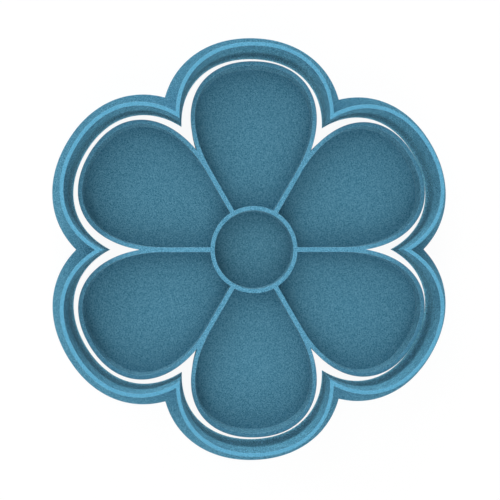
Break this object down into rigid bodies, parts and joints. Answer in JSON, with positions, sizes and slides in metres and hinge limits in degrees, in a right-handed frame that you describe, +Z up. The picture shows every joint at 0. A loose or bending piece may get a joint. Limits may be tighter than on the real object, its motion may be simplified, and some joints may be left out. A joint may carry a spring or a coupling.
{
  "type": "cookie cutter",
  "caption": "Flower-shaped cookie cutter with a wide base flange and a loose ribbed stamp that prints the petals and the round centre.",
  "frame": {"origin": "centre of the flower, on the surface that both pieces lie on", "axes": "+Z up towards the cutting edge, +Y out of the centre along the middle of a petal, +X along the line between two petals"},
  "size_m": [0.084, 0.09, 0.01],
  "materials": {
    "cutter_plastic": "satin, with fine print layers",
    "stamp_plastic": "satin, with a fine grain on the recess floors"
  },
  "bodies": {
    "cutter": {"cutter_ring": "cutter_plastic"},
    "stamp": {"imprint_stamp": "stamp_plastic"}
  },
  "joints": [
    {"name": "stamp_lift", "type": "slide", "parent": "cutter", "child": "stamp", "axis": [0, 0, 1], "range_m": [0, 0.025]}
  ]
}
